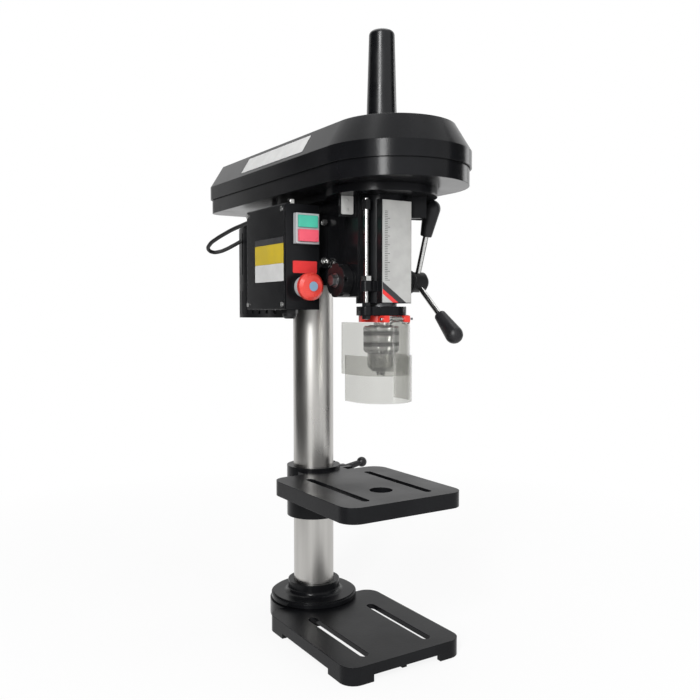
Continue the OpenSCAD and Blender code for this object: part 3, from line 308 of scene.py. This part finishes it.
# Looks of the material slots, of single nodes, and of prints
GLOSS_BLACK = (0.0055, 0.0057, 0.0065)
SATIN_BLACK = (0.0075, 0.0077, 0.0085)
GRIP_BLACK = (0.011, 0.011, 0.0122)
TUBE_BLACK = (0.004, 0.0042, 0.005)
LOOKS = {
    "cast_black": paint("cast_black", GLOSS_BLACK, 0.22, 260.0, 0.14, shine=0.11, dust=0.12),
    "sheet_black": paint("sheet_black", GLOSS_BLACK, 0.21, 420.0, 0.08, shine=0.15, dust=0.34),
    "motor_black": paint("motor_black", SATIN_BLACK, 0.4, 320.0, 0.14),
    "column_steel": column_metal(),
    "bright_steel": steel("bright_steel", (0.62, 0.62, 0.61), 0.24, lines=12),
    "dark_steel": steel("dark_steel", (0.2, 0.2, 0.205), 0.38, lines=8),
    "hub_black": paint("hub_black", SATIN_BLACK, 0.34, 300.0, 0.12),
    "grip_black": plastic("grip_black", GRIP_BLACK, 0.42, Specular_IOR_Level=0.3),
    "tube_black": plastic("tube_black", TUBE_BLACK, 0.28, Specular_IOR_Level=0.36),
    "pulley_alloy": steel("pulley_alloy", (0.55, 0.55, 0.56), 0.32, lines=10),
    "belt_rubber": rubber("belt_rubber", (0.012, 0.012, 0.012)),
    "lead_rubber": rubber("lead_rubber", (0.007, 0.007, 0.0075)),
    "guard_red": plastic("guard_red", (0.6, 0.03, 0.02), 0.3),
    "guard_clear": clear_plastic("guard_clear", (0.63, 0.63, 0.605), 0.08),
    "plate_grey": printed("plate_grey", (0.36, 0.36, 0.35)),
    "switch_grey": plastic("switch_grey", (0.36, 0.37, 0.38), 0.4),
    "start_green": plastic("start_green", (0.06, 0.4, 0.29), 0.32),
    "stop_red": plastic("stop_red", (0.52, 0.04, 0.03), 0.26),
}
CHUCK_STEEL = steel("chuck_steel", (0.46, 0.46, 0.46), 0.22, lines=14, streak=0.3)
KNURL_STEEL = steel("knurl_steel", (0.05, 0.05, 0.052), 0.42, lines=1)
NODE_LOOKS = {
    "chuck_body": CHUCK_STEEL,
    "chuck_sleeve": CHUCK_STEEL,
    "depth_rod": steel("rod_steel", (0.42, 0.42, 0.415), 0.3, lines=12),
    "depth_rod_nuts": LOOKS["hub_black"],
    "stop_nuts": LOOKS["hub_black"],
    "stop_button": plastic("button_pink", (0.62, 0.08, 0.12), 0.3),
}
PRINTS = {
    "white_print": printed("white_print", (0.58, 0.58, 0.575)),
    "yellow_print": printed("yellow_print", (0.52, 0.38, 0.012)),
    "red_print": printed("red_print", (0.6, 0.03, 0.03)),
    "black_print": printed("black_print", (0.02, 0.02, 0.022)),
    "blue_print": printed("blue_print", (0.16, 0.26, 0.36)),
}


def dress_cad():
    """Gives each CAD node its own look, or else the look of its material slot."""
    for part in frame["record"]["subparts"]:
        mesh = frame["nodes"][part["node"]].data
        mesh.materials.clear()
        mesh.materials.append(NODE_LOOKS.get(part["node"], LOOKS[part["material_slot"]]))


# Stage: the floor, dark cards, sky and lamps
FLOOR_COLOR = (0.9, 0.9, 0.9)
FLOOR_ROUGH = 0.8
FLOOR_HALF = 6.0
FLOOR_GAP = 0.0005
FADE_NEAR = 0.35
FADE_FAR = 1.1
FADE_SHARE = 0.88
CARD_COLOR = (0.01, 0.01, 0.01)
CARD_ROUGH = 0.9
CARD_SHINE = 0.1
CARD_TOP = 1.9
# Name, place along X, front and back edge of each card
CARDS = (
    ("card_left", -0.9, -0.5, 1.8),
    ("card_right", 1.3, -1.3, -0.25),
)
SKY_STRENGTH = 0.35
LAMP_AIM = Vector((0, -0.1, 0.45))
# Name, place, width and height, power, and whether gloss mirrors the lamp
LAMPS = (
    ("key", (-1.3, -1.25, 1.15), (0.32, 1.3), 36, True),
    ("top", (0.1, 0.2, 2.1), (1.4, 1.4), 13, True),
    ("front", (0.5, -1.8, 0.5), (0.35, 1.0), 9, False),
    ("side", (1.9, -0.1, 0.9), (0.8, 1.0), 5, True),
)


def link_math(tree, operation, first, second):
    """Adds a math node on two outputs, or on an output and a number."""
    node = tree.nodes.new("ShaderNodeMath")
    node.operation = operation
    tree.links.new(first, node.inputs[0])
    if isinstance(second, float):
        node.inputs[1].default_value = second
    else:
        tree.links.new(second, node.inputs[1])
    return node.outputs[0]


def background_mix(tree, lit, share):
    """Mixes plain white over a shader for rays that show the background."""
    rays = tree.nodes.new("ShaderNodeLightPath").outputs
    glow = tree.nodes.new("ShaderNodeEmission")
    mirrored = link_math(tree, "MAXIMUM", rays["Is Glossy Ray"], rays["Is Transmission Ray"])
    shown = link_math(tree, "MAXIMUM", rays["Is Camera Ray"], mirrored)
    mix = tree.nodes.new("ShaderNodeMixShader")
    tree.links.new(link_math(tree, "MULTIPLY", shown, share), mix.inputs["Fac"])
    tree.links.new(lit, mix.inputs[1])
    tree.links.new(glow.outputs["Emission"], mix.inputs[2])
    return mix.outputs["Shader"]


def add_sheet(name, corners, look):
    """A flat stage sheet through four corners."""
    mesh = bpy.data.meshes.new(name)
    mesh.from_pydata(corners, [], [(0, 1, 2, 3)])
    mesh.materials.append(look)
    sheet = bpy.data.objects.new(name, mesh)
    scene.collection.objects.link(sheet)
    return sheet


def floor_white():
    """White floor that takes the shadow near the machine and fades into the background."""
    look = Look("floor_white", FLOOR_COLOR, FLOOR_ROUGH)
    coords = look.add("ShaderNodeTexCoord")
    reach = look.add("ShaderNodeVectorMath", operation="LENGTH")
    look.join(coords.outputs["Object"], reach.inputs[0])
    fade = look.map_range(reach.outputs["Value"], FADE_NEAR, FADE_FAR, FADE_SHARE, 1.0)
    shader = background_mix(look.tree, look.shader.outputs["BSDF"], fade)
    look.join(shader, look.tree.nodes["Material Output"].inputs["Surface"])
    return look.material


def add_stage():
    """The floor, and two dark cards beside the machine that its metal mirrors."""
    level = cad_box[0][2] - FLOOR_GAP
    turns = ((-1, -1), (1, -1), (1, 1), (-1, 1))
    floor = [(x * FLOOR_HALF, y * FLOOR_HALF, level) for x, y in turns]
    add_sheet("floor", floor, floor_white())
    card = Look("card_black", CARD_COLOR, CARD_ROUGH, Specular_IOR_Level=CARD_SHINE).material
    for name, x, front, back in CARDS:
        edges = [(x, front, level), (x, back, level), (x, back, CARD_TOP), (x, front, CARD_TOP)]
        sheet = add_sheet(name, edges, card)
        sheet.visible_camera = False
        sheet.visible_transmission = False
        sheet.visible_shadow = False


def add_world():
    world = bpy.data.worlds.new("studio")
    scene.world = world
    world.use_nodes = True
    tree = world.node_tree
    sky = tree.nodes["Background"]
    sky.inputs["Color"].default_value = (1, 1, 1, 1)
    sky.inputs["Strength"].default_value = SKY_STRENGTH
    out = tree.nodes["World Output"]
    tree.links.new(background_mix(tree, sky.outputs["Background"], 1.0), out.inputs["Surface"])


def add_lamps():
    """Soft boxes aimed at the machine."""
    for name, place, size, power, mirrored in LAMPS:
        data = bpy.data.lights.new(name, "AREA")
        data.shape = "RECTANGLE"
        data.size, data.size_y = size
        data.energy = power
        lamp = bpy.data.objects.new(name, data)
        lamp.location = place
        lamp.visible_glossy = mirrored
        lamp.rotation_euler = (LAMP_AIM - Vector(place)).to_track_quat("-Z", "Y").to_euler()
        scene.collection.objects.link(lamp)


# Piece kit
BEVEL_FROM = math.radians(35)
BEVEL_SEGMENTS = 2
SHARP_FROM = math.radians(40)
STICKER_THICK = 0.0003
SCREW_SIDES = 24
# Radius and height of a screw's dome and sunk drive, as shares of the head
SCREW_DOME = ((1.0, 0.0), (1.0, 0.45), (0.86, 0.8), (0.5, 1.0), (0.3, 1.0), (0.26, 0.5))
WASHER = 0.0012
# Radius of a bolt's washer as a share of the hexagon, and height as a share of the washer
WASHER_PROFILE = ((0.72, 0.0), (0.72, 0.7), (0.66, 1.0), (0.3, 1.0))
BOLT_SINK = 0.9
BOLT_BEVEL = 0.05


def finish_piece(bm, name, look, body, bevel=0.0, smooth=True):
    """Turns a bmesh into a piece that rides on a body."""
    mesh = bpy.data.meshes.new(name)
    if bevel:
        inner = [edge for edge in bm.edges if len(edge.link_faces) == 2]
        sharp = [edge for edge in inner if edge.calc_face_angle() > BEVEL_FROM]
        bmesh.ops.bevel(
            bm, geom=sharp, offset=bevel, segments=BEVEL_SEGMENTS, affect="EDGES", clamp_overlap=True
        )
    bmesh.ops.recalc_face_normals(bm, faces=bm.faces)
    for face in bm.faces:
        face.smooth = smooth
    bm.to_mesh(mesh)
    bm.free()
    mesh.materials.append(look)
    piece = bpy.data.objects.new(name, mesh)
    scene.collection.objects.link(piece)
    if smooth:
        mesh.set_sharp_from_angle(angle=SHARP_FROM)
    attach(piece, body)


def prism(bm, outline, depth, matrix):
    """Adds a closed prism: an outline in X and Y, raised by depth along Z, then placed."""
    low = [bm.verts.new(matrix @ Vector((x, y, 0))) for x, y in outline]
    high = [bm.verts.new(matrix @ Vector((x, y, depth))) for x, y in outline]
    bm.faces.new(list(reversed(low)))
    bm.faces.new(high)
    for i in range(len(outline)):
        j = (i + 1) % len(outline)
        bm.faces.new((low[i], low[j], high[j], high[i]))


def circle(radius, count=32):
    turns = [math.tau * i / count for i in range(count)]
    return [(radius * math.cos(turn), radius * math.sin(turn)) for turn in turns]


def round_rect(width, height, corner, steps=6):
    """Outline of a rectangle with round corners, centred."""
    points = []
    for k, (sx, sy) in enumerate(((1, 1), (-1, 1), (-1, -1), (1, -1))):
        for i in range(steps + 1):
            turn = math.radians(90 * k + 90 * i / steps)
            x = sx * (width / 2 - corner) + corner * math.cos(turn)
            y = sy * (height / 2 - corner) + corner * math.sin(turn)
            points.append((x, y))
    return points


def basis(place, across, up):
    """Matrix whose X runs across, Y up and Z out of a face."""
    x = Vector(across).normalized()
    y = Vector(up).normalized()
    matrix = Matrix((x, y, x.cross(y))).transposed().to_4x4()
    matrix.translation = Vector(place)
    return matrix


def facing(place, out):
    """Matrix whose Z points out of a face."""
    out = Vector(out).normalized()
    side = out.orthogonal().normalized()
    return basis(place, side, out.cross(side))


def lathe(bm, profile, matrix, count=32):
    """Adds a closed turned form: pairs of radius and height along Z, capped, then placed."""
    rings = []
    for radius, height in profile:
        outline = circle(radius, count)
        rings.append([bm.verts.new(matrix @ Vector((x, y, height))) for x, y in outline])
    for low, high in zip(rings, rings[1:]):
        for i in range(count):
            j = (i + 1) % count
            bm.faces.new((low[i], low[j], high[j], high[i]))
    bm.faces.new(list(reversed(rings[0])))
    bm.faces.new(rings[-1])


def sticker(name, look, body, place, across, up, width, height, corner=0.0015):
    """A thin plate on a face."""
    bm = bmesh.new()
    prism(bm, round_rect(width, height, corner), STICKER_THICK, basis(place, across, up))
    finish_piece(bm, name, look, body, smooth=False)


def screw(name, look, body, place, out, radius, head):
    """A domed screw head with a sunk drive, on a face."""
    bm = bmesh.new()
    profile = [(radius * r, head * h) for r, h in SCREW_DOME]
    lathe(bm, profile, facing(place, out), SCREW_SIDES)
    finish_piece(bm, name, look, body)


def hex_bolt(name, look, body, place, out, across, head):
    """A hex bolt head on its washer."""
    matrix = facing(place, out)
    bm = bmesh.new()
    lathe(bm, [(across * r, WASHER * h) for r, h in WASHER_PROFILE], matrix)
    seat = matrix @ Matrix.Translation((0, 0, WASHER * BOLT_SINK))
    prism(bm, circle(across / math.sqrt(3), 6), head, seat)
    finish_piece(bm, name, look, body, bevel=across * BOLT_BEVEL)


# Pieces
INK = 0.0002


def add_scale():
    """Tick marks and the two-colour stripe of the front plate, without any text."""
    low = lo("scale_plate")
    tick_count = 40
    long_every = 5
    long_tick = 0.008
    short_tick = 0.0045
    tick_width = 0.0006
    tick_corner = 0.0002
    pitch = 0.0022
    margin = 0.003
    first = low.z + 0.028
    bm = bmesh.new()
    for i in range(tick_count):
        length = short_tick if i % long_every else long_tick
        place = (low.x + margin + length / 2, low.y, first + i * pitch)
        outline = round_rect(length, tick_width, tick_corner, steps=1)
        prism(bm, outline, INK, basis(place, RIGHT, UP))
    finish_piece(bm, "scale_ticks", PRINTS["black_print"], "stand", smooth=False)
    black = ((0.0, 0.026), (0.0, 0.017), (0.024, 0.0), (0.036, 0.0))
    red = ((0.0, 0.017), (0.0, 0.011), (0.0155, 0.0), (0.024, 0.0))
    stripes = (("stripe_black", black, "black_print"), ("stripe_red", red, "red_print"))
    for name, outline, look in stripes:
        bm = bmesh.new()
        prism(bm, outline, INK, basis(low, RIGHT, UP))
        finish_piece(bm, name, PRINTS[look], "stand", smooth=False)


def add_lid_label():
    """Blank pale label on the left sloped band of the lid."""
    inset = 0.020
    slope = 0.033
    along = -0.045
    lift = 0.0001
    length = 0.185
    height = 0.026
    left = lo("belt_lid").x + 0.5 * inset
    level = hi("belt_lid").z - 0.5 * slope
    up = Vector((inset, 0, slope)).normalized()
    out = Vector((-slope, 0, inset)).normalized()
    place = Vector((left, along, level)) + out * lift
    sticker("lid_label", PRINTS["white_print"], "lid", place, FRONT, up, length, height)


def add_cover_prints():
    """Blank places of the stickers on the box's side cover."""
    low = lo("switch_panel")
    middle = low.y + 0.0445
    width = 0.085
    corner = 0.001
    # Name, print, level of the middle, height
    bands = (
        ("cover_band", "black_print", 0.548, 0.008),
        ("cover_yellow", "yellow_print", 0.5308, 0.026),
        ("cover_white", "white_print", 0.506, 0.0232),
    )
    for name, look, level, height in bands:
        place = (low.x, middle, level)
        sticker(name, PRINTS[look], "stand", place, FRONT, UP, width, height, corner)


def add_front_prints():
    """The blank red plate under the switch, and the disc on the emergency stop."""
    plate_level = 0.513
    plate_width = 0.036
    plate_height = 0.016
    disc_radius = 0.0062
    disc_thick = 0.0006
    disc_bevel = 0.0002
    plate = (mid("switch_body").x, lo("switch_box").y, plate_level)
    red = PRINTS["red_print"]
    sticker("red_plate", red, "stand", plate, RIGHT, UP, plate_width, plate_height)
    button = mid("estop_head")
    button.y = lo("estop_head").y
    bm = bmesh.new()
    prism(bm, circle(disc_radius), disc_thick, basis(button, RIGHT, UP))
    finish_piece(bm, "estop_disc", PRINTS["blue_print"], "emergency", bevel=disc_bevel)


def add_fasteners():
    """Bolts and the nut that show on the box, its bracket and the head."""
    bright = LOOKS["bright_steel"]
    box = lo("switch_box")
    box_top = (box.x + 0.016, box.y + 0.014, hi("switch_box").z)
    nut = mid("spring_cap")
    nut.x = lo("spring_cap").x
    # Name, look, place, way out of the face, width across flats, height of the head
    bolts = (
        ("box_top_bolt", bright, box_top, UP, 0.009, 0.006),
        ("bracket_bolt_upper", bright, (-0.0425, -0.104, 0.575), FRONT, 0.0065, 0.004),
        ("bracket_bolt_lower", bright, (-0.0425, -0.104, 0.523), FRONT, 0.0065, 0.004),
        ("head_bolt", bright, (-0.036, -0.116, 0.519), LEFT, 0.009, 0.005),
        ("spring_nut", LOOKS["dark_steel"], nut, LEFT, 0.013, 0.006),
    )
    for name, look, place, out, across, head in bolts:
        hex_bolt(name, look, "stand", place, out, across, head)


def add_gland():
    """Cable gland under the switch box."""
    low = lo("switch_box")
    nut_radius = 0.0115
    nut_height = 0.005
    bevel = 0.0004
    # Radius and height of the cap, down to the sunk mouth
    cap = (
        (0.0095, 0.0048), (0.0095, 0.008), (0.0085, 0.0105),
        (0.006, 0.012), (0.0042, 0.012), (0.0036, 0.008),
    )
    matrix = facing((low.x + 0.021, low.y + 0.03, low.z), DOWN)
    bm = bmesh.new()
    prism(bm, circle(nut_radius, 6), nut_height, matrix)
    lathe(bm, cap, matrix)
    finish_piece(bm, "gland", LOOKS["grip_black"], "stand", bevel=bevel)


def add_rib_plate():
    """Zinc plate on the front of the left rib under the tray, held by two rivets."""
    look = LOOKS["plate_grey"]
    rib_turn = math.radians(168)
    rib_half = 0.0025
    reach = 0.0485
    level = 0.590
    width = 0.016
    height = 0.024
    corner = 0.002
    thick = 0.0016
    bevel = 0.0004
    rivet_radius = 0.0018
    rivet_head = 0.0009
    along = Vector((math.cos(rib_turn), math.sin(rib_turn), 0))
    front = Vector((-math.sin(rib_turn), math.cos(rib_turn), 0))
    place = Vector((0, mid("quill").y, level)) + along * reach + front * rib_half
    bm = bmesh.new()
    prism(bm, round_rect(width, height, corner), thick, basis(place, -along, UP))
    finish_piece(bm, "rib_plate", look, "stand", bevel=bevel)
    for name, lift in (("rib_rivet_upper", 0.006), ("rib_rivet_lower", -0.006)):
        rivet = place + front * thick + Vector((0, 0, lift))
        screw(name, look, "stand", rivet, front, rivet_radius, rivet_head)


def add_knurls():
    """Dark knurled bands in the two sunk rings of the chuck's sleeve."""
    low = lo("chuck_sleeve")
    high = hi("chuck_sleeve")
    axis = mid("chuck_sleeve")
    ridges = 64
    ridge_depth = 0.0004
    width = 0.0044
    clearance = 0.0001
    crest = (high.x - low.x) / 2 - clearance
    inside = crest - 0.0016
    for name, bottom in (("knurl_lower", low.z + 0.009), ("knurl_upper", high.z - 0.0117)):
        bm = bmesh.new()
        top = bottom + width
        rows = []
        for i in range(2 * ridges):
            turn = math.pi * i / ridges
            outside = crest - ridge_depth * (i % 2)
            row = []
            for radius, z in ((outside, bottom), (outside, top), (inside, top), (inside, bottom)):
                x = axis.x + radius * math.cos(turn)
                y = axis.y + radius * math.sin(turn)
                row.append(bm.verts.new((x, y, z)))
            rows.append(row)
        for row, after in zip(rows, rows[1:] + rows[:1]):
            for k in range(4):
                n = (k + 1) % 4
                bm.faces.new((row[k], after[k], after[n], row[n]))
        finish_piece(bm, name, KNURL_STEEL, "chuck_sleeve", smooth=False)


def add_tube_foot():
    """Flared foot where the cover tube meets the lid."""
    sides = 48
    # Radius past the tube's own, and height
    flare = ((0.004, 0.0001), (0.0038, 0.0015), (0.002, 0.0024), (0.0006, 0.0045), (-0.0006, 0.007))
    low = lo("spindle_tube")
    foot = mid("spindle_tube")
    foot.z = low.z
    radius = (hi("spindle_tube").x - low.x) / 2
    bm = bmesh.new()
    lathe(bm, [(radius + past, h) for past, h in flare], Matrix.Translation(foot), sides)
    finish_piece(bm, "tube_foot", LOOKS["tube_black"], "lid")


def add_rear_belt():
    """The rear belt, as a copy of the CAD belt's mesh that takes the CAD node's place."""
    mesh = frame["nodes"]["rear_belt"].data.copy()
    mesh.materials.clear()
    mesh.materials.append(LOOKS["belt_rubber"])
    belt = bpy.data.objects.new("rear_belt_run", mesh)
    scene.collection.objects.link(belt)
    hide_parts("rear_belt")
    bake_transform(belt)


# Lead from the switch box to the motor: its route in millimetres, and its tube
LEAD_ROUTE = (
    (-88, 3, 586), (-88, 14, 586), (-89, 32, 585), (-92, 52, 582), (-97, 72, 578),
    (-103, 92, 572), (-108, 110, 566), (-112, 126, 559), (-110, 138, 552), (-101, 142, 548),
    (-91, 139, 549), (-82, 132, 553), (-74, 126, 558), (-66, 122, 563), (-61.5, 120, 566),
)
LEAD_RADIUS = 0.003
LEAD_ROUND = 5
LEAD_STEPS = 8


def sweep_lead(points):
    """A round tube along a smooth curve, with the curve's path and length."""
    data = bpy.data.curves.new("lead", "CURVE")
    data.dimensions = "3D"
    data.bevel_depth = LEAD_RADIUS
    data.bevel_resolution = LEAD_ROUND
    data.resolution_u = LEAD_STEPS
    data.use_fill_caps = True
    spline = data.splines.new("BEZIER")
    spline.bezier_points.add(len(points) - 1)
    for knot, point in zip(spline.bezier_points, points):
        knot.co = point
        knot.handle_left_type = "AUTO"
        knot.handle_right_type = "AUTO"
    curve = bpy.data.objects.new("lead_curve", data)
    scene.collection.objects.link(curve)
    bpy.context.view_layer.update()
    length = spline.calc_length()
    path = []
    for near, far in zip(spline.bezier_points, spline.bezier_points[1:]):
        ends = (near.co, near.handle_right, far.handle_left, far.co)
        path += interpolate_bezier(*ends, LEAD_STEPS + 1)[:-1]
    path.append(points[-1])
    graph = bpy.context.evaluated_depsgraph_get()
    mesh = bpy.data.meshes.new_from_object(curve.evaluated_get(graph))
    bpy.data.objects.remove(curve)
    return mesh, path, length


def add_lead():
    """The lead from the switch box to the motor."""
    points = [Vector(point) * MM for point in LEAD_ROUTE]
    mesh, path, length = sweep_lead(points)
    mesh.materials.clear()
    mesh.materials.append(LOOKS["lead_rubber"])
    lead = bpy.data.objects.new("lead", mesh)
    scene.collection.objects.link(lead)
    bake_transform(lead)
    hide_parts("motor_lead")


add_camera()
add_stage()
add_world()
add_lamps()
dress_cad()
add_lead()
add_rear_belt()
add_scale()
add_lid_label()
add_cover_prints()
add_front_prints()
add_fasteners()
add_gland()
add_rib_plate()
add_knurls()
add_tube_foot()
